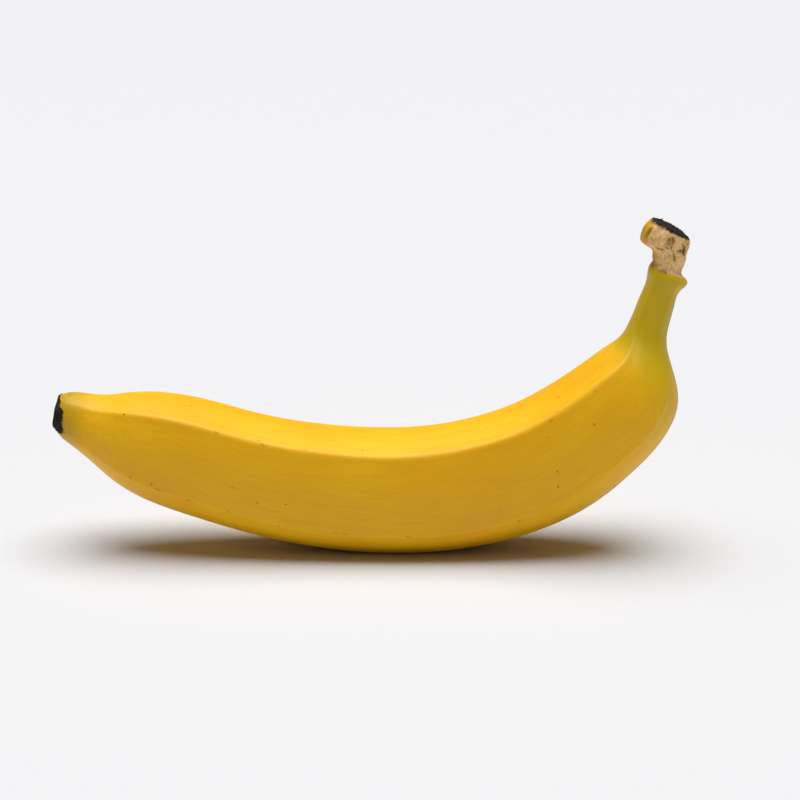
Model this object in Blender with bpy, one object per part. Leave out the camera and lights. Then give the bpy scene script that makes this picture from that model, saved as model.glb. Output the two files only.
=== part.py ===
"""A ripe yellow banana, picked, with its torn stem end and dried flower tip.

The fruit is one closed solid. It rests on its outer curve, with the stem
end rising at +X and the flower tip at -X. Metres, +Z up, and the origin is
on the resting surface, under the middle of the fruit's box.
"""

import math
from collections import namedtuple

import bmesh
import bpy
import numpy as np

MM = 0.001

# Driving sizes, in millimetres. The stations below are drawn in millimetres
# too, and scaled so that the fruit is FRUIT_LENGTH from tip to stem end.
FRUIT_LENGTH = 190.0
REST_DEPTH = 0.35

# How finely the skin is divided: millimetres between rings, and sides of a ring
RING_SPACING = 3.6
SIDES = 44

# A station is a line straight across the fruit, from its inner curve to its
# outer curve, in the plane of the bend. Then come its width, how far it leans
# out of that plane, and how strong its ridges are, from 0 round to 1 angular.
Station = namedtuple("Station", "inner_x inner_z outer_x outer_z width lean ridge")
STATIONS = (
    # flower tip
    Station(-92.5, 47.5, -94.5, 37.5, 10.5, 2.2, 0.10),
    Station(-90.5, 47.9, -92.5, 35.0, 13.2, 2.2, 0.15),
    Station(-86.0, 47.8, -89.0, 32.2, 16.5, 2.0, 0.25),
    Station(-80.0, 47.1, -83.5, 27.8, 20.5, 1.7, 0.40),
    Station(-72.5, 47.6, -76.5, 22.0, 27.0, 1.4, 0.55),
    Station(-62.0, 47.6, -65.0, 15.7, 32.0, 1.0, 0.65),
    # body
    Station(-50.0, 45.6, -53.0, 11.4, 34.5, 0.6, 0.70),
    Station(-35.5, 41.7, -37.5, 6.5, 35.5, 0.2, 0.72),
    Station(-18.0, 38.2, -19.5, 2.5, 36.0, 0.0, 0.72),
    Station(-1.5, 36.6, -2.5, 0.4, 36.5, 0.0, 0.72),
    Station(15.0, 36.9, 16.5, 0.2, 36.5, 0.0, 0.72),
    Station(29.5, 39.3, 34.0, 2.3, 36.5, 0.1, 0.72),
    Station(43.0, 43.7, 52.3, 7.4, 36.5, 0.3, 0.70),
    Station(55.2, 50.4, 68.0, 15.6, 36.0, 0.6, 0.66),
    # shoulder
    Station(65.0, 57.3, 80.6, 26.5, 34.5, 0.9, 0.60),
    Station(70.7, 61.6, 88.7, 36.4, 31.5, 1.2, 0.55),
    Station(73.6, 63.8, 92.2, 46.8, 26.0, 1.5, 0.50),
    Station(75.4, 65.9, 90.5, 55.8, 19.5, 1.7, 0.45),
    Station(76.8, 68.5, 88.6, 62.6, 14.8, 1.9, 0.45),
    # stem
    Station(78.6, 72.8, 89.0, 69.0, 12.6, 2.1, 0.45),
    Station(80.5, 77.8, 90.4, 75.2, 12.0, 2.3, 0.45),
    Station(82.1, 82.6, 92.1, 79.6, 12.2, 2.4, 0.40),
    Station(82.8, 86.5, 93.7, 82.5, 13.0, 2.5, 0.30),
    # torn stem end, above the scar
    Station(83.6, 87.8, 92.2, 84.3, 11.2, 2.5, 0.20),
    Station(83.5, 89.4, 93.3, 87.3, 11.8, 2.5, 0.20),
    Station(83.0, 91.7, 93.7, 90.6, 12.8, 2.4, 0.20),
    Station(79.9, 94.0, 94.3, 93.5, 14.2, 2.3, 0.20),
    Station(79.9, 95.8, 94.2, 94.8, 14.2, 2.2, 0.20),
    Station(81.2, 98.6, 91.8, 97.2, 12.0, 2.2, 0.20),
    Station(83.0, 100.9, 88.2, 100.1, 7.0, 2.2, 0.20),
)

# The flat sides between the ridges: the direction each one faces, in degrees
# from the inner curve round towards -Y, and its distance from the middle as a
# share of the half height.
FLATS = ((5, 0.97), (86, 0.96), (141, 1.04), (184, 0.99), (243, 0.99), (305, 0.97))
FLAT_SHARPNESS = 14

MERGE_DISTANCE = 1e-7

PEEL_COLOUR = (0.80, 0.48, 0.02, 1.0)
PEEL_ROUGHNESS = 0.42


def clear_scene():
    for item in list(bpy.data.objects):
        bpy.data.objects.remove(item, do_unlink=True)


def smooth_curve(knots, values, places):
    """Natural cubic spline through values at knots, one column per measure."""
    gap = np.diff(knots)[:, None]
    slope = np.diff(values, axis=0) / gap
    count = len(knots)
    system = np.eye(count)
    wanted = np.zeros_like(values)
    for i in range(1, count - 1):
        system[i, i - 1 : i + 2] = gap[i - 1, 0], 2 * (gap[i - 1, 0] + gap[i, 0]), gap[i, 0]
        wanted[i] = 6 * (slope[i] - slope[i - 1])
    bend = np.linalg.solve(system, wanted)
    left = np.clip(np.searchsorted(knots, places, "right") - 1, 0, count - 2)
    span = gap[left]
    after = (places - knots[left])[:, None]
    before = span - after
    return (
        (bend[left] * before**3 + bend[left + 1] * after**3) / (6 * span)
        + (values[left] / span - bend[left] * span / 6) * before
        + (values[left + 1] / span - bend[left + 1] * span / 6) * after
    )


def section_radius(angle, ridge):
    """Radius of the section at an angle, for a half height of 1."""
    total = 0.0
    for faces, distance in FLATS:
        towards = math.cos(angle - math.radians(faces))
        if towards > 0:
            total += (towards / distance) ** FLAT_SHARPNESS
    angular = total ** (-1 / FLAT_SHARPNESS)
    return ridge * angular + (1 - ridge)


def ring_points(station):
    """Points round one section, from the inner curve round by -Y."""
    middle = np.array(
        (
            (station.inner_x + station.outer_x) / 2,
            station.lean,
            (station.inner_z + station.outer_z) / 2,
        )
    )
    inwards = np.array((station.inner_x, station.lean, station.inner_z)) - middle
    across = np.array((0.0, -station.width / 2, 0.0))
    for i in range(SIDES):
        angle = math.tau * i / SIDES
        radius = section_radius(angle, station.ridge)
        yield middle + radius * (math.cos(angle) * inwards + math.sin(angle) * across)


def all_sections():
    """Sections at an even spacing along the fruit, and at both ends."""
    table = np.array(STATIONS)
    middles = (table[:, 0:2] + table[:, 2:4]) / 2
    steps = np.linalg.norm(np.diff(middles, axis=0), axis=1)
    knots = np.concatenate(((0.0,), np.cumsum(steps)))
    places = [knots[0]]
    for start, end in zip(knots, knots[1:]):
        parts = max(1, round((end - start) / RING_SPACING))
        places.extend(start + (end - start) * (k + 1) / parts for k in range(parts))
    return [Station(*row) for row in smooth_curve(knots, table, np.array(places))]


def drawn_scale():
    """Metres for each millimetre of the stations as they are drawn."""
    tip = min(station.outer_x for station in STATIONS)
    stem_end = max(station.outer_x for station in STATIONS)
    return MM * FRUIT_LENGTH / (stem_end - tip)


def place_ring(ring, station, scale):
    for vertex, point in zip(ring, ring_points(station)):
        vertex.co = scale * point


def loft(shape, sections):
    """Extrude one ring along the sections and close both ends."""
    scale = drawn_scale()
    ring = bmesh.ops.create_circle(shape, segments=SIDES, radius=1.0)["verts"]
    edges = list(shape.edges)
    place_ring(ring, sections[0], scale)
    for section in sections[1:]:
        grown = bmesh.ops.extrude_edge_only(shape, edges=edges)["geom"]
        ring = [item for item in grown if isinstance(item, bmesh.types.BMVert)]
        edges = [item for item in grown if isinstance(item, bmesh.types.BMEdge)]
        edges = [edge for edge in edges if edge.is_boundary]
        place_ring(ring, section, scale)
    bmesh.ops.holes_fill(shape, edges=shape.edges, sides=0)


def cut_rest_face(shape):
    """Flatten the lowest place of the outer curve and stand it on z = 0."""
    level = min(vertex.co.z for vertex in shape.verts) + REST_DEPTH * MM
    geometry = list(shape.verts) + list(shape.edges) + list(shape.faces)
    bmesh.ops.bisect_plane(
        shape,
        geom=geometry,
        dist=MERGE_DISTANCE,
        plane_co=(0.0, 0.0, level),
        plane_no=(0.0, 0.0, -1.0),
        clear_outer=True,
    )
    rim = [edge for edge in shape.edges if edge.is_boundary]
    bmesh.ops.holes_fill(shape, edges=rim, sides=0)
    return level


def centre_on_box(shape, level):
    """Move the fruit so that its box is centred on the origin, on z = 0."""
    along = [vertex.co.x for vertex in shape.verts]
    aside = [vertex.co.y for vertex in shape.verts]
    move = (
        -(min(along) + max(along)) / 2,
        -(min(aside) + max(aside)) / 2,
        -level,
    )
    bmesh.ops.translate(shape, verts=shape.verts, vec=move)


def peel_material():
    material = bpy.data.materials.new("ripe_peel")
    material.use_nodes = True
    shader = material.node_tree.nodes["Principled BSDF"]
    shader.inputs["Base Color"].default_value = PEEL_COLOUR
    shader.inputs["Roughness"].default_value = PEEL_ROUGHNESS
    shader.inputs["Metallic"].default_value = 0.0
    material.diffuse_color = PEEL_COLOUR
    return material


def build_banana():
    shape = bmesh.new()
    loft(shape, all_sections())
    level = cut_rest_face(shape)
    centre_on_box(shape, level)
    bmesh.ops.recalc_face_normals(shape, faces=shape.faces)
    mesh = bpy.data.meshes.new("banana")
    shape.to_mesh(mesh)
    shape.free()
    mesh.shade_smooth()
    mesh.materials.append(peel_material())
    banana = bpy.data.objects.new("banana", mesh)
    bpy.context.scene.collection.objects.link(banana)
    return banana


clear_scene()
build_banana()
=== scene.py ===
# %% [markdown]
# # A ripe banana
#
# One picked fruit lies on its outer curve on a white table: a slim stem with a torn end
# on the right, a dried flower tip on the left, and between them a yellow peel with soft
# lengthwise ridges. It grew as one piece, so it is modelled as one skin.
#
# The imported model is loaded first. It fixes the fruit's size and place, and the fine
# skin made below takes the plain solid's place in the picture.

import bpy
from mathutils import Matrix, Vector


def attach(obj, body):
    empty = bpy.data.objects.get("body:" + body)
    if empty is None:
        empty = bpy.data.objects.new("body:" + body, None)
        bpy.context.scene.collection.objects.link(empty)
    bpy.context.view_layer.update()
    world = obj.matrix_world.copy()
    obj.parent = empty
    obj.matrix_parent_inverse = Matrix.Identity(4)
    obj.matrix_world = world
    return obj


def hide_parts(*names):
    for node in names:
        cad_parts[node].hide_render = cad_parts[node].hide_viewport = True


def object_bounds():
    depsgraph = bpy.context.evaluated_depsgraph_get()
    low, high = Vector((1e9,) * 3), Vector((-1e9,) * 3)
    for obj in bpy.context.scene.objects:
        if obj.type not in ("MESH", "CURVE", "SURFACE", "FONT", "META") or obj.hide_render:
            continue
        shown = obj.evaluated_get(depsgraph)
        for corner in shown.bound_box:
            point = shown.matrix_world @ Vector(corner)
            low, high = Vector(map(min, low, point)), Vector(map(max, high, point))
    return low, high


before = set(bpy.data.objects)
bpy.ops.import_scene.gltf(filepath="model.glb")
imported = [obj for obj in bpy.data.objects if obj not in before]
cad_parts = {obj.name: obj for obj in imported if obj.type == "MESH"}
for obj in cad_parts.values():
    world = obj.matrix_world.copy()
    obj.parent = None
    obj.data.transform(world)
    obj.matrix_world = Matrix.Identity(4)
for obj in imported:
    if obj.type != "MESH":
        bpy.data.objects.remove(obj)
solid_low, solid_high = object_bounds()
print("plain solid, m:", [round(v, 4) for v in solid_high - solid_low])

# %% [markdown]
# ## Camera
#
# The fruit is seen from the side and a little from above. A long lens keeps the two ends
# at the same scale. The camera is aimed at a point named on the fruit's middle, and the
# aim is moved sideways until the fruit sits where it does in the photograph.

# %% Camera
import math

import bpy
from mathutils import Vector

AZIMUTH = math.radians(0.0)
ELEVATION = math.radians(15.0)
LENS_MM = 85.0
DISTANCE = 0.567
AIM = Vector((0.0096, 0.0, 0.0461))

away = Vector((
    math.sin(AZIMUTH) * math.cos(ELEVATION),
    -math.cos(AZIMUTH) * math.cos(ELEVATION),
    math.sin(ELEVATION),
))
camera = bpy.data.objects.new("camera", bpy.data.cameras.new("camera"))
camera.data.lens = LENS_MM
camera.data.clip_start = 0.01
camera.data.clip_end = 200.0
camera.location = AIM + DISTANCE * away
camera.rotation_euler = away.to_track_quat("Z", "Y").to_euler()
bpy.context.scene.collection.objects.link(camera)
bpy.context.scene.camera = camera

# %% [markdown]
# ## The shape, as sections
#
# A fruit like this has no straight line in it, but it is easy to describe by sections, the
# way a boat builder does. Each section is a line straight across the fruit, from the inner
# curve to the outer curve, with a width. A smooth curve through the sections gives every
# ring in between. All sizes are in millimetres. The numbers are those of the solid, apart
# from the torn end, where the cut across the stem is drawn more slanted.

# %% Sections
from collections import namedtuple

import numpy as np

MM = 0.001
FRUIT_LENGTH = 190.0

Section = namedtuple("Section", "inner_x inner_z outer_x outer_z width lean ridge")
SECTIONS = (
    # flower tip
    Section(-92.5, 47.5, -94.5, 37.5, 10.5, 2.2, 0.10),
    Section(-90.5, 47.9, -92.5, 35.0, 13.2, 2.2, 0.15),
    Section(-86.0, 47.8, -89.0, 32.2, 16.5, 2.0, 0.25),
    Section(-80.0, 47.1, -83.5, 27.8, 20.5, 1.7, 0.40),
    Section(-72.5, 47.6, -76.5, 22.0, 27.0, 1.4, 0.55),
    Section(-62.0, 47.6, -65.0, 15.7, 32.0, 1.0, 0.65),
    # body
    Section(-50.0, 45.6, -53.0, 11.4, 34.5, 0.6, 0.70),
    Section(-35.5, 41.7, -37.5, 6.5, 35.5, 0.2, 0.72),
    Section(-18.0, 38.2, -19.5, 2.5, 36.0, 0.0, 0.72),
    Section(-1.5, 36.6, -2.5, 0.4, 36.5, 0.0, 0.72),
    Section(15.0, 36.9, 16.5, 0.2, 36.5, 0.0, 0.72),
    Section(29.5, 39.3, 34.0, 2.3, 36.5, 0.1, 0.72),
    Section(43.0, 43.7, 52.3, 7.4, 36.5, 0.3, 0.70),
    Section(55.2, 50.4, 68.0, 15.6, 36.0, 0.6, 0.66),
    # shoulder
    Section(65.0, 57.3, 80.6, 26.5, 34.5, 0.9, 0.60),
    Section(70.7, 61.6, 88.7, 36.4, 31.5, 1.2, 0.55),
    Section(73.6, 63.8, 92.2, 46.8, 26.0, 1.5, 0.50),
    Section(75.4, 65.9, 90.5, 55.8, 19.5, 1.7, 0.45),
    Section(76.8, 68.5, 88.6, 62.6, 14.8, 1.9, 0.45),
    # stem
    Section(78.6, 72.8, 89.0, 69.0, 12.6, 2.1, 0.45),
    Section(80.5, 77.8, 90.4, 75.2, 12.0, 2.3, 0.45),
    Section(82.1, 82.6, 92.1, 79.6, 12.2, 2.4, 0.40),
    Section(82.8, 86.5, 93.7, 82.5, 13.0, 2.5, 0.30),
    # torn stem end, above the scar
    Section(83.6, 87.8, 92.2, 84.3, 11.2, 2.5, 0.20),
    Section(83.5, 89.4, 93.3, 87.3, 11.4, 2.5, 0.20),
    Section(83.0, 91.7, 93.7, 90.2, 11.8, 2.4, 0.20),
    Section(79.9, 94.0, 94.3, 92.3, 12.6, 2.3, 0.20),
    Section(79.9, 96.0, 94.5, 93.2, 13.0, 2.2, 0.20),
    Section(81.0, 98.6, 94.5, 93.8, 12.8, 2.2, 0.20),
    Section(83.4, 100.8, 94.3, 94.6, 12.0, 2.2, 0.20),
)
SHOULDER_SECTION = 14
STEM_SECTION = 19
SCAR_SECTION = 22


def smooth_curve(knots, values, places):
    """Natural cubic spline through values at knots, one column per measure."""
    gap = np.diff(knots)[:, None]
    slope = np.diff(values, axis=0) / gap
    count = len(knots)
    system = np.eye(count)
    wanted = np.zeros_like(values)
    for i in range(1, count - 1):
        system[i, i - 1 : i + 2] = gap[i - 1, 0], 2 * (gap[i - 1, 0] + gap[i, 0]), gap[i, 0]
        wanted[i] = 6 * (slope[i] - slope[i - 1])
    bend = np.linalg.solve(system, wanted)
    left = np.clip(np.searchsorted(knots, places, "right") - 1, 0, count - 2)
    span = gap[left]
    after = (places - knots[left])[:, None]
    before = span - after
    return (
        (bend[left] * before**3 + bend[left + 1] * after**3) / (6 * span)
        + (values[left] / span - bend[left] * span / 6) * before
        + (values[left + 1] / span - bend[left + 1] * span / 6) * after
    )


table = np.array(SECTIONS)
middles = (table[:, 0:2] + table[:, 2:4]) / 2
steps = np.linalg.norm(np.diff(middles, axis=0), axis=1)
KNOTS = np.concatenate(((0.0,), np.cumsum(steps)))
LENGTH = KNOTS[-1]
SCAR = KNOTS[SCAR_SECTION]
print("centre line", round(LENGTH, 1), "mm, scar at", round(SCAR, 1), "mm")
for name, section in (("shoulder", SHOULDER_SECTION), ("stem", STEM_SECTION)):
    print(name, "from", round(KNOTS[section], 1), "mm")


# %% [markdown]
# ## The outline of one section
#
# The peel has flat sides that meet in soft ridges. A flat side is a straight line at some
# distance from the middle, so the outline is the nearest of several lines in each
# direction. Taking a high power mean instead of the nearest one rounds the corners. Mixing
# that with a circle makes the sides bulge, as the flesh inside pushes them out. Each ridge
# then gets a slim crest with a shallow hollow on both sides of it, because the fibres in
# the ridge hold the peel while it shrinks a little beside them.

# %% Section outline
FLATS = ((5, 0.97), (86, 0.96), (141, 1.04), (184, 0.99), (243, 0.99), (305, 0.97))
FLAT_SHARPNESS = 14
AROUND = 224
CREST_HEIGHT = 0.45
CREST_WIDTH = math.radians(5.0)
HOLLOW_WIDTH = math.radians(14.0)

angles = np.arange(AROUND) * math.tau / AROUND


def turn_between(a, b):
    """Smallest turn from one angle to another, in radians."""
    return (a - b + math.pi) % math.tau - math.pi


def ridge_angles():
    """Where neighbouring flat sides meet."""
    found = []
    for (faces, near), (next_faces, next_near) in zip(FLATS, FLATS[1:] + FLATS[:1]):
        a, b = math.radians(faces), math.radians(next_faces)
        normals = np.array(((math.cos(a), math.sin(a)), (math.cos(b), math.sin(b))))
        corner = np.linalg.solve(normals, (near, next_near))
        found.append(math.atan2(corner[1], corner[0]) % math.tau)
    return found


def outline(angle, ridge):
    """Radius in each direction for a half height of 1. ridge goes from 0 round to 1."""
    total = np.zeros_like(angle)
    for faces, distance in FLATS:
        towards = np.cos(angle - math.radians(faces)).clip(0, None)
        total += (towards / distance) ** FLAT_SHARPNESS
    return ridge * total ** (-1 / FLAT_SHARPNESS) + (1 - ridge)


RIDGES = ridge_angles()
crest = sum(np.exp(-(turn_between(angles, r) / CREST_WIDTH) ** 2) for r in RIDGES)
hollow = sum(np.exp(-(turn_between(angles, r) / HOLLOW_WIDTH) ** 2) for r in RIDGES)
print("ridges at", [round(math.degrees(r)) for r in RIDGES], "degrees")

# %% [markdown]
# ## Rings along the fruit
#
# Rings lie close together where the detail is fine, at the dried tip and the torn end, and
# further apart along the smooth peel. At both ends the rings shrink to a point, so the
# skin is closed. `reach` is how far out of its plane such an end ring is pushed.

# %% Rings
ZONES = (
    # from, to, spacing
    (0.0, 6.0, 0.2),
    (6.0, 20.0, 0.6),
    (20.0, SCAR - 34.0, 1.15),
    (SCAR - 34.0, SCAR - 4.0, 0.7),
    (SCAR - 4.0, LENGTH, 0.2),
)
CAP_RINGS = 22
SMALLEST_RING = 0.02
TIP_HOLLOW = 1.3
CUT_DOME = 0.9

Ring = namedtuple("Ring", "place shrink reach")


def ring_list():
    shrinking = np.linspace(SMALLEST_RING, 1.0, CAP_RINGS, endpoint=False)
    rings = [Ring(0.0, share, TIP_HOLLOW * (1 - share**3)) for share in shrinking]
    for start, end, spacing in ZONES:
        count = round((end - start) / spacing)
        rings += [Ring(place, 1.0, 0.0) for place in np.linspace(start, end, count, endpoint=False)]
    rings.append(Ring(LENGTH, 1.0, 0.0))
    rings += [Ring(LENGTH, share, CUT_DOME * (1 - share**2)) for share in shrinking[::-1]]
    return rings


rings = ring_list()
places = np.array([ring.place for ring in rings])
shrink = np.array([ring.shrink for ring in rings])
reach = np.array([ring.reach for ring in rings])
rows = smooth_curve(KNOTS, table, places)
print(len(rings), "rings of", AROUND, "points")

inner = np.stack((rows[:, 0], rows[:, 5], rows[:, 1]), axis=1)
outer = np.stack((rows[:, 2], rows[:, 5], rows[:, 3]), axis=1)
middle = (inner + outer) / 2
inwards = inner - middle
half_height = np.linalg.norm(inwards, axis=1)
inwards_unit = inwards / half_height[:, None]
forwards = np.cross(inwards_unit, (0.0, -1.0, 0.0))
mean_radius = (half_height + rows[:, 4] / 2) / 2

cos_angle = np.cos(angles)
sin_angle = np.sin(angles)
outwards = (
    cos_angle[None, :, None] * inwards_unit[:, None, :]
    + sin_angle[None, :, None] * np.array((0.0, -1.0, 0.0))
)
radius = np.stack([outline(angles, ridge) for ridge in rows[:, 6]])
points = (
    middle[:, None, :]
    + (shrink[:, None] * radius * cos_angle)[:, :, None] * inwards[:, None, :]
    + (shrink[:, None] * radius * sin_angle * rows[:, 4, None] / 2)[:, :, None]
    * np.array((0.0, -1.0, 0.0))
    + reach[:, None, None] * forwards[:, None, :]
)
print("forwards at the tip and the cut", forwards[0].round(2), forwards[-1].round(2))

# %% [markdown]
# ## Fine shape of the skin
#
# Every point is now moved a little along its outward direction. The parts are added one
# after another, so each can be tried alone: the ridge crests, a slow unevenness that keeps
# the peel from looking turned on a lathe, pleats where it gathers at the tip, the crust of
# the dried flower, and the fibres of the torn end. A coordinate that runs along and round
# the fruit, as if it were straight, keeps the noise lengthwise everywhere.

# %% Fine shape
from mathutils import noise

unbent = np.stack(
    (
        np.broadcast_to(places[:, None] + 0 * angles, radius.shape),
        mean_radius[:, None] * sin_angle * shrink[:, None],
        mean_radius[:, None] * cos_angle * shrink[:, None],
    ),
    axis=2,
)


def smooth_step(low, high, value):
    share = np.clip((value - low) / (high - low), 0.0, 1.0)
    return share * share * (3 - 2 * share)


def bump_near(centre, width, value):
    return np.exp(-(((value - centre) / width) ** 2))


def noise_at(scale, stretch=1.0, shift=0.0, rows_used=slice(None)):
    """Noise from -1 to 1 at every point. scale is the grain in millimetres, stretch its length."""
    spots = unbent[rows_used] / scale
    spots[:, :, 0] /= stretch
    flat = spots.reshape(-1, 3) + shift
    found = np.fromiter((noise.noise(spot) for spot in flat.tolist()), float, len(flat))
    return found.reshape(spots.shape[:2])


place_of = places[:, None]
around = angles[None, :]
bodily = smooth_step(4.0, 30.0, place_of) * (1 - smooth_step(SCAR - 3.0, SCAR, place_of))
crest_strength = bodily * (1 - 0.55 * smooth_step(SCAR - 34.0, SCAR - 18.0, place_of))
lift = CREST_HEIGHT * crest_strength * (crest - 0.75 * hollow)

lift += 0.35 * noise_at(22.0, 2.0) * bodily
lift += 0.10 * noise_at(7.0, 3.0, shift=5.0) * bodily
lift += 0.035 * noise_at(2.2, 6.0, shift=9.0) * bodily

pleats = bump_near(9.0, 6.0, place_of) + 0.7 * bump_near(SCAR - 12.0, 10.0, place_of)
lift += 0.10 * pleats * noise_at(1.6, 9.0, shift=3.0)

near_tip = slice(0, int(np.searchsorted(places, 8.0)))
crust = 1 - smooth_step(1.0, 3.2, place_of)
knobs = sum(
    height * np.exp(-(turn_between(around, math.radians(angle)) / math.radians(width)) ** 2)
    for angle, width, height in ((12, 16, 0.7), (72, 15, 1.0), (118, 26, 0.8), (190, 20, 0.6),
                                 (245, 18, 0.9), (305, 18, 0.7))
)
tip_lift = np.zeros_like(lift)
tip_lift[near_tip] = (knobs - 0.5) * crust[near_tip] * 0.75
tip_lift[near_tip] += crust[near_tip] * (
    0.35 * noise_at(1.3, 1.0, 2.0, near_tip) + 0.18 * noise_at(0.5, 1.0, 4.0, near_tip)
)
lift += tip_lift

above_scar = smooth_step(SCAR + 0.2, SCAR + 1.2, place_of)
near_end = slice(int(np.searchsorted(places, SCAR - 1.0)), len(places))
torn_side = smooth_step(
    -0.15, 0.35, np.sin(around - math.radians(25.0)) + 0.25 * noise_at(4.0, 1.5, 7.0)
)
fibres = np.zeros_like(lift)
fibres[near_end] = (
    0.30 * noise_at(1.1, 4.0, 11.0, near_end)
    + 0.22 * noise_at(2.6, 1.4, 13.0, near_end)
    + 0.12 * noise_at(0.45, 2.0, 17.0, near_end)
)
lift += above_scar * (0.35 + 0.65 * torn_side) * fibres
lift -= above_scar * torn_side * 0.35

lift *= np.where(shrink < 1.0, shrink, 1.0)[:, None]
points += lift[:, :, None] * outwards

cap_rough = np.where(shrink < 1.0, 1.0, 0.0)[:, None] * (
    0.35 * noise_at(1.2, 1.0, 19.0) + 0.2 * noise_at(0.5, 1.0, 23.0)
)
points += cap_rough[:, :, None] * forwards[:, None, :]

# %% [markdown]
# ## Into place
#
# The sections are drawn in their own millimetres. They are scaled to the fruit's length and
# moved onto the plain solid, and the skin is pressed flat where it meets the table.

# %% Into place
scale = MM * FRUIT_LENGTH / (table[:, 2].max() - table[:, 2].min())
points *= scale
box_low = points.reshape(-1, 3).min(axis=0)
box_high = points.reshape(-1, 3).max(axis=0)
REST_DEPTH = 0.35 * MM
shift = np.array((
    (solid_low.x + solid_high.x) / 2 - (box_low[0] + box_high[0]) / 2,
    (solid_low.y + solid_high.y) / 2 - (box_low[1] + box_high[1]) / 2,
    solid_low.z - REST_DEPTH - box_low[2],
))
points += shift
points[:, :, 2] = np.maximum(points[:, :, 2], solid_low.z)
print("moved onto the solid by, mm:", (shift / MM).round(2))

# %% [markdown]
# ## What the peel remembers
#
# The colours follow the fruit and not the room, so each point keeps where it lies along and
# round the fruit, how near it is to a ridge, and how torn or dried it is. These are written
# onto the mesh under plain names, and the material reads them by those names.

# %% Notes on the mesh
tip_reach = 1.3 + 2.6 * bump_near(0, math.radians(26), turn_between(around, math.radians(112)))
tip_reach += 1.5 * bump_near(0, math.radians(18), turn_between(around, math.radians(70)))
tip_reach += 1.0 * bump_near(0, math.radians(30), turn_between(around, math.radians(250)))
tip_noise = 0.9 * noise_at(1.6, 1.0, 29.0) + 0.4 * noise_at(0.6, 1.0, 31.0)
dried = 1 - smooth_step(-0.35, 0.45, place_of - tip_reach + tip_noise)
cut_rim = smooth_step(LENGTH - 1.1, LENGTH - 0.3, place_of + 0.5 * noise_at(1.0, 1.0, 37.0))
cut_face = np.where(places >= LENGTH, 1.0, 0.0)[:, None] * np.ones_like(radius)
dried_all = np.maximum(dried, np.maximum(cut_rim, cut_face))
torn = above_scar * np.maximum(torn_side, cut_face)
ridge_share = crest_strength * np.broadcast_to(crest, radius.shape)

# %% [markdown]
# ## One skin from one circle
#
# The mesh starts as a circle with a closed middle. Its rim is extruded from ring to ring,
# which gives a clean grid of four-sided faces, and the last small ring is closed again.

# %% Skin
import bmesh


skin = bmesh.new()
unbent_note = skin.verts.layers.float_vector.new("unbent")
ridge_note = skin.verts.layers.float.new("ridge")
torn_note = skin.verts.layers.float.new("torn")
dried_note = skin.verts.layers.float.new("dried")


def put_ring(vertices, row):
    """Moves a ring to its place and writes its notes."""
    for column, vertex in enumerate(vertices):
        vertex.co = points[row, column]
        vertex[unbent_note] = unbent[row, column]
        vertex[ridge_note] = ridge_share[row, column]
        vertex[torn_note] = torn[row, column]
        vertex[dried_note] = dried_all[row, column]


start = bmesh.ops.create_circle(skin, cap_ends=True, cap_tris=True, segments=AROUND, radius=1.0)
rim_edges = [edge for edge in skin.edges if edge.is_boundary]
hub = [vertex for vertex in start["verts"] if not vertex.is_boundary][0]
rim = [vertex for vertex in start["verts"] if vertex.is_boundary]
hub.co = points[0].mean(axis=0)
hub[dried_note] = 1.0
put_ring(rim, 0)
for row in range(1, len(rings)):
    grown = bmesh.ops.extrude_edge_only(skin, edges=rim_edges)["geom"]
    rim = [item for item in grown if isinstance(item, bmesh.types.BMVert)]
    edges = [item for item in grown if isinstance(item, bmesh.types.BMEdge)]
    rim_edges = [edge for edge in edges if edge.is_boundary]
    put_ring(rim, row)
end_face = bmesh.ops.holes_fill(skin, edges=rim_edges, sides=0)["faces"]
end_hub = bmesh.ops.poke(skin, faces=end_face)["verts"][0]
end_hub[dried_note] = 1.0
end_hub[torn_note] = 1.0
end_hub[unbent_note] = (LENGTH, 0.0, 0.0)
bmesh.ops.recalc_face_normals(skin, faces=skin.faces)
print("skin:", len(skin.verts), "points,", len(skin.faces), "faces")
print("volume", round(skin.calc_volume() * 1e6, 1), "cubic centimetres")

banana_mesh = bpy.data.meshes.new("banana_skin")
skin.to_mesh(banana_mesh)
skin.free()
banana_mesh.shade_smooth()
banana = bpy.data.objects.new("banana_skin", banana_mesh)
bpy.context.scene.collection.objects.link(banana)

# %% [markdown]
# ## Sums with shader sockets
#
# A material is a sum of masks and colours. Written as nodes it is long, so one small class
# wraps a socket and lets Python's own signs add the Math nodes: `1 - mask` is one node.

# %% Shader sums


class Wire:
    """An output socket of a material's nodes, for use in Python expressions."""

    def __init__(self, paint, socket):
        self.paint = paint
        self.socket = socket

    def _math(self, operation, first, second):
        return self.paint.node("ShaderNodeMath", {"operation": operation}, {0: first, 1: second})

    def __add__(self, other):
        return self._math("ADD", self, other)

    def __radd__(self, other):
        return self._math("ADD", other, self)

    def __sub__(self, other):
        return self._math("SUBTRACT", self, other)

    def __rsub__(self, other):
        return self._math("SUBTRACT", other, self)

    def __mul__(self, other):
        return self._math("MULTIPLY", self, other)

    def __rmul__(self, other):
        return self._math("MULTIPLY", other, self)

    def highest(self, other):
        return self._math("MAXIMUM", self, other)

    def step(self, low, high):
        """0 below low and 1 above high, with a soft slope between them."""
        return self.paint.node(
            "ShaderNodeMapRange",
            {"interpolation_type": "SMOOTHSTEP"},
            {"Value": self, "From Min": low, "From Max": high},
        )


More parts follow.
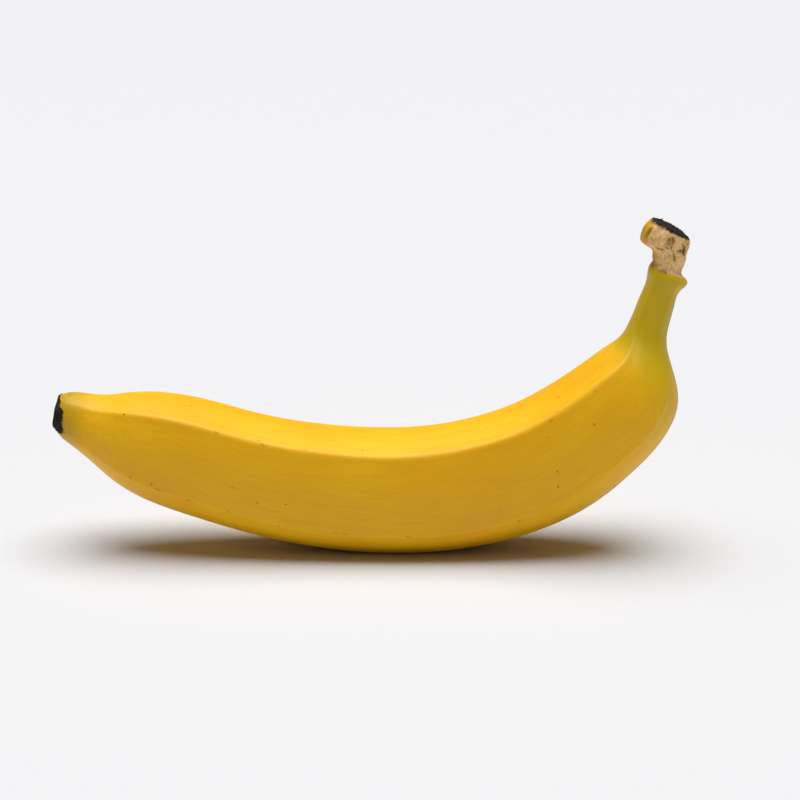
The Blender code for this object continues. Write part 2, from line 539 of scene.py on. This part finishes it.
class Paint:
    """A material, and the nodes that feed its one Principled shader."""

    def __init__(self, name):
        self.material = bpy.data.materials.new(name)
        self.material.use_nodes = True
        self.tree = self.material.node_tree
        self.shader = self.tree.nodes["Principled BSDF"]

    def node(self, kind, settings, sockets, output=0):
        """Adds one node: its settings first, then the value or the wire of each socket."""
        made = self.tree.nodes.new(kind)
        for name, value in settings.items():
            if name == "stops":
                ramp = made.color_ramp
                while len(ramp.elements) < len(value):
                    ramp.elements.new(0.5)
                for element, (place, colour) in zip(ramp.elements, value):
                    element.position = place
                    element.color = colour
            else:
                setattr(made, name, value)
        for name, value in sockets.items():
            if isinstance(value, Wire):
                self.tree.links.new(value.socket, made.inputs[name])
            else:
                made.inputs[name].default_value = value
        return Wire(self, made.outputs[output])

    def note(self, name, output):
        """A value that was written onto the mesh under this name."""
        return self.node("ShaderNodeAttribute", {"attribute_name": name}, {}, output)

    def noise(self, where, grain, stretch=1.0, detail=2.0, shift=0.0):
        """Noise from 0 to 1, with its grain and its length along the fruit in millimetres."""
        moved = self.node(
            "ShaderNodeMapping",
            {"vector_type": "POINT"},
            {
                "Vector": where,
                "Location": (shift, shift, shift),
                "Scale": (1 / (grain * stretch), 1 / grain, 1 / grain),
            },
        )
        return self.node(
            "ShaderNodeTexNoise",
            {"noise_dimensions": "3D"},
            {"Vector": moved, "Scale": 1.0, "Detail": detail},
        )

    def mix(self, share, first, second, blend="MIX"):
        """A colour that goes from the first to the second."""
        settings = {"data_type": "RGBA", "blend_type": blend, "clamp_factor": True}
        return self.node(
            "ShaderNodeMix", settings, {"Factor": share, 6: first, 7: second}, output=2
        )

    def finish(self, **sockets):
        """Sets or links the shader's own sockets, named with _ for a space."""
        for name, value in sockets.items():
            socket = self.shader.inputs[name.replace("_", " ")]
            if isinstance(value, Wire):
                self.tree.links.new(value.socket, socket)
            else:
                socket.default_value = value
        return self.material


def picked(red, green, blue):
    """A colour as a colour picker gives it, 0 to 255, made linear for the shader."""
    shares = (channel / 255 for channel in (red, green, blue))
    linear = (s / 12.92 if s <= 0.04045 else ((s + 0.055) / 1.055) ** 2.4 for s in shares)
    return (*linear, 1.0)


# %% [markdown]
# ## Peel
#
# Ripe peel is a deep warm yellow with hardly any blue in it. It isn't even: broad cloudy
# patches, fine streaks along the fibres, a green tinge that is left where it ripens last,
# at the stem and round the tip, and small brown freckles and scuffs. The same material
# carries the dried tip and the torn end, because on the fruit one passes into the other.

# %% Peel colour
peel = Paint("ripe_peel")
where = peel.note("unbent", "Vector")
ridge = peel.note("ridge", "Fac")
torn_wire = peel.note("torn", "Fac")
dried_wire = peel.note("dried", "Fac")
along = peel.node("ShaderNodeSeparateXYZ", {}, {"Vector": where}, "X")

clouds = peel.noise(where, 16.0, 1.8, 3.0)
streaks = peel.noise(where, 0.9, 16.0, 3.0, shift=40.0)
fine_streaks = peel.noise(where, 0.35, 12.0, 2.0, shift=70.0)
ripe = peel.mix(clouds.step(0.3, 0.7), picked(243, 182, 6), picked(247, 192, 10))
ripe = peel.mix(0.5 * streaks.step(0.35, 0.75), ripe, picked(236, 170, 4))
ripe = peel.mix(0.25 * fine_streaks.step(0.5, 0.8), ripe, picked(226, 160, 8))

stem_green = along.step(SCAR - 40.0, SCAR - 20.0)
neck_green = peel.noise(where, 5.0, 4.0, 2.0, shift=90.0)
ripe = peel.mix(
    stem_green * (0.55 + 0.4 * neck_green), ripe, picked(188, 168, 12)
)
tip_green = 1 - along.step(2.0, 13.0)
ripe = peel.mix(0.6 * tip_green, ripe, picked(150, 132, 10))

# %% [markdown]
# ## Brown marks
#
# Ridges rub against other fruit in the crate, so the scuffs follow the crests. Freckles are
# small spots where ripening starts, spread thinly by a cell pattern over the whole peel.

# %% Brown marks
scuff_noise = peel.noise(where, 1.4, 3.0, 4.0, shift=120.0)
scuffs = ridge.step(0.45, 0.9) * scuff_noise.step(0.62, 0.72)
freckle_cells = peel.node(
    "ShaderNodeTexVoronoi",
    {"feature": "F1"},
    {"Vector": where, "Scale": 0.16},
    "Distance",
)
freckles = 1 - freckle_cells.step(0.035, 0.075)
marked = peel.mix(0.55 * scuffs, ripe, picked(150, 96, 18))
marked = peel.mix(0.7 * freckles, marked, picked(140, 92, 16))

# %% [markdown]
# ## Dried tip and torn end
#
# Above the scar the peel ends and the pith shows, a pale tan that goes brown in patches as
# it dries. The flower tip and the cut are older and nearly black.

# %% Dried tip and torn end
crust_noise = peel.noise(where, 0.7, 1.5, 4.0, shift=150.0)
pith = peel.mix(crust_noise.step(0.35, 0.7), picked(226, 178, 106), picked(246, 214, 158))
patch_noise = peel.noise(where, 2.6, 1.6, 4.0, shift=170.0)
pith = peel.mix(patch_noise.step(0.5, 0.66), pith, picked(134, 84, 22))
pith = peel.mix(0.9 * patch_noise.step(0.64, 0.74), pith, picked(74, 36, 8))
skin_end = peel.mix(patch_noise.step(0.45, 0.7), picked(216, 164, 30), picked(170, 120, 18))
past_scar = along.step(SCAR - 0.2, SCAR + 0.5)
marked = peel.mix(past_scar, marked, skin_end)
marked = peel.mix(torn_wire, marked, pith)
black = peel.mix(crust_noise.step(0.4, 0.8), picked(22, 14, 10), picked(52, 32, 18))
colour = peel.mix(dried_wire, marked, black)

# %% [markdown]
# ## Peel surface
#
# Peel has a soft satin sheen, a little of the light goes into it, and its fibres make a very
# fine grain. Dried and torn places are dull and rough. The broad shapes are in the mesh, so
# the bump only carries what is finer than its rings.

# %% Peel surface
grain_noise = peel.noise(where, 0.28, 3.0, 3.0, shift=200.0)
dull = dried_wire.highest(torn_wire)
rough = 0.42 + 0.12 * clouds + 0.35 * dull
height = 0.5 * grain_noise + 0.5 * fine_streaks + 1.2 * dull * crust_noise
relief = peel.node(
    "ShaderNodeBump",
    {},
    {"Strength": 0.35, "Distance": 0.0002, "Height": height},
)
peel_material = peel.finish(
    Base_Color=colour,
    Roughness=rough,
    Normal=relief,
    Specular_IOR_Level=0.3,
    Subsurface_Weight=0.12,
    Subsurface_Radius=(1.0, 0.55, 0.12),
    Subsurface_Scale=0.003,
)
banana_mesh.materials.append(peel_material)
print("peel material:", len(peel.tree.nodes), "nodes")

# %% [markdown]
# ## Table and light
#
# The table is a plain pale surface that runs on past the picture's edge. One wide soft
# light hangs over it. A lamp of the sun kind is used, because its light is even over the
# whole table, and its angle is opened until the shadow's edge is as soft as a large white
# screen makes it. The room is dim, so the shadow stays deep. Only the camera sees it as a
# pale backdrop.

# %% Table
TABLE_HALF = 40.0
table_shape = bmesh.new()
bmesh.ops.create_grid(table_shape, x_segments=8, y_segments=8, size=TABLE_HALF)
table_mesh = bpy.data.meshes.new("table_top")
table_shape.to_mesh(table_mesh)
table_shape.free()
table_top = bpy.data.objects.new("table_top", table_mesh)
bpy.context.scene.collection.objects.link(table_top)

cloth = Paint("table_white")
cloth_where = cloth.node("ShaderNodeTexCoord", {}, {}, "Object")
cloth_noise = cloth.node(
    "ShaderNodeTexNoise", {}, {"Vector": cloth_where, "Scale": 600.0, "Detail": 2.0}
)
cloth_colour = cloth.mix(cloth_noise, picked(212, 212, 214), picked(216, 216, 218))
table_mesh.materials.append(
    cloth.finish(Base_Color=cloth_colour, Roughness=0.9, Specular_IOR_Level=0.1)
)

# %% Light
LIGHT_TILT = math.radians(4.0)
LIGHT_SPREAD = math.radians(58.0)
ROOM_GLOW = 0.08

light = bpy.data.lights.new("overhead_screen", "SUN")
light.energy = 4.0
light.angle = LIGHT_SPREAD
light_object = bpy.data.objects.new("overhead_screen", light)
light_object.rotation_euler = (-LIGHT_TILT, 0.0, 0.0)
bpy.context.scene.collection.objects.link(light_object)

room = bpy.data.worlds.new("room")
room.use_nodes = True
room_nodes = room.node_tree.nodes
room_links = room.node_tree.links
dim = room_nodes["Background"]
dim.inputs["Color"].default_value = (1.0, 1.0, 1.0, 1.0)
dim.inputs["Strength"].default_value = ROOM_GLOW
backdrop = room_nodes.new("ShaderNodeBackground")
backdrop.inputs["Color"].default_value = picked(243, 243, 245)
backdrop.inputs["Strength"].default_value = 1.0
choice = room_nodes.new("ShaderNodeMixShader")
seen = room_nodes.new("ShaderNodeLightPath")
room_links.new(seen.outputs["Is Camera Ray"], choice.inputs[0])
room_links.new(dim.outputs[0], choice.inputs[1])
room_links.new(backdrop.outputs[0], choice.inputs[2])
room_links.new(choice.outputs[0], room_nodes["World Output"].inputs[0])
bpy.context.scene.world = room

bpy.context.scene.view_settings.view_transform = "Standard"
bpy.context.scene.view_settings.look = "None"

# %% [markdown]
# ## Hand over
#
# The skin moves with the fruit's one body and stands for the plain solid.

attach(banana, "root")
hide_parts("banana")
